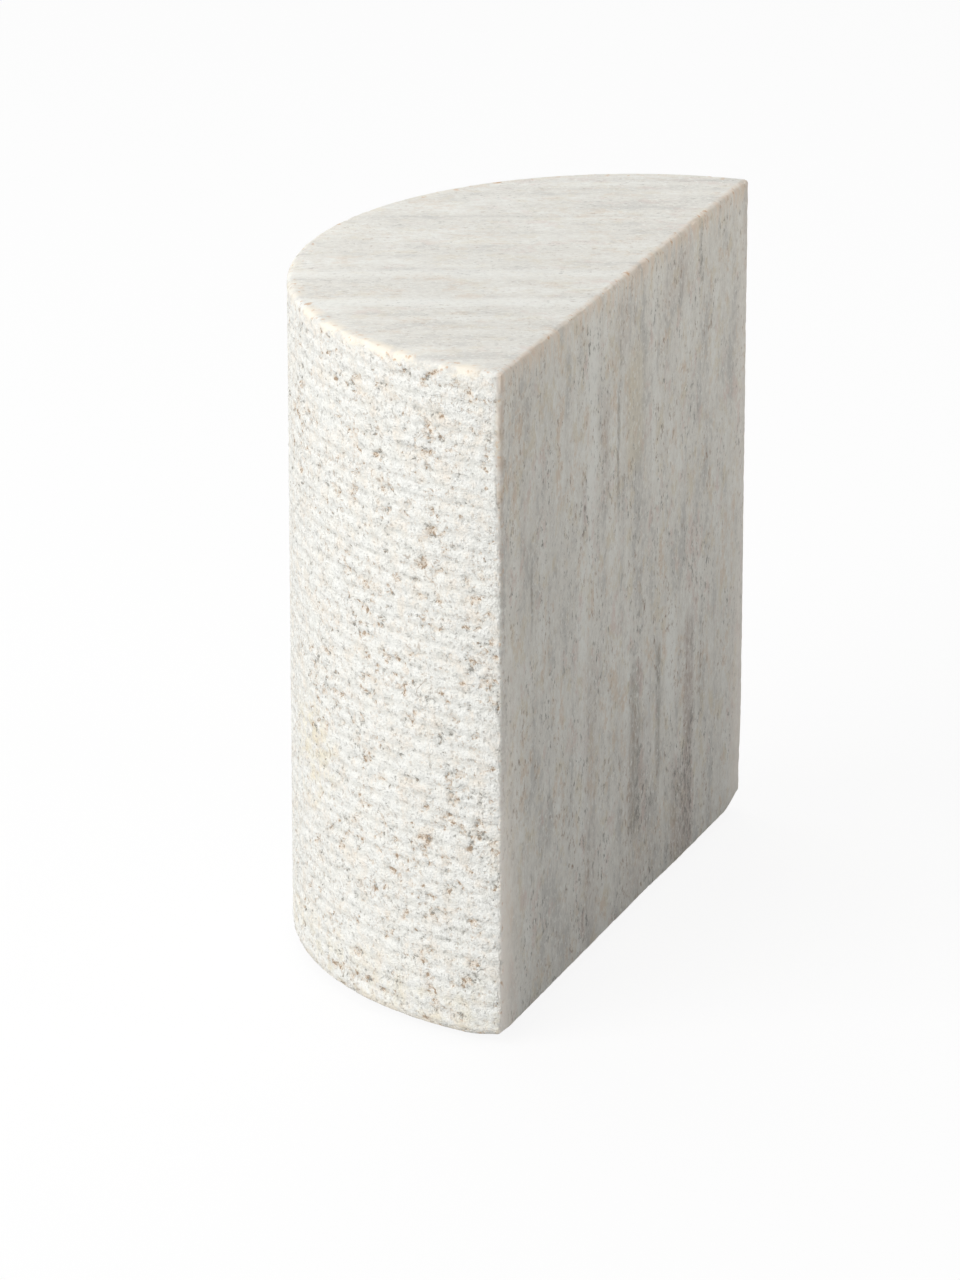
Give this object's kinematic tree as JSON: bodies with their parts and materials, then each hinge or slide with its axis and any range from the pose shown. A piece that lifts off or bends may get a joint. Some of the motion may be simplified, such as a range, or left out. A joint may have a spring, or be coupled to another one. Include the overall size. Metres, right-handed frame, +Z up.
{
  "type": "book end",
  "caption": "Free-standing half-round marble book end: a flat honed face meets the books, the curved back is combed, and thin rubber pads stick under the base.",
  "frame": {"origin": "on the standing plane, under the centre of the object's box", "axes": "+Z up, +X straight out of the flat book face, -X out of the crown of the curved back, Y across the width of the book face"},
  "size_m": [0.0635, 0.13, 0.13],
  "materials": {
    "marble": "honed flat faces, combed rough back, eased edges",
    "foot_rubber": "matt milky silicone rubber",
    "adhesive": "pressure-sensitive film"
  },
  "bodies": {
    "root": {"marble_block": "marble", "foot_pad_face_left": "foot_rubber", "foot_pad_face_right": "foot_rubber", "foot_pad_crown_left": "foot_rubber", "foot_pad_crown_right": "foot_rubber", "adhesive_disc_face_left": "adhesive", "adhesive_disc_face_right": "adhesive", "adhesive_disc_crown_left": "adhesive", "adhesive_disc_crown_right": "adhesive"}
  },
  "joints": []
}
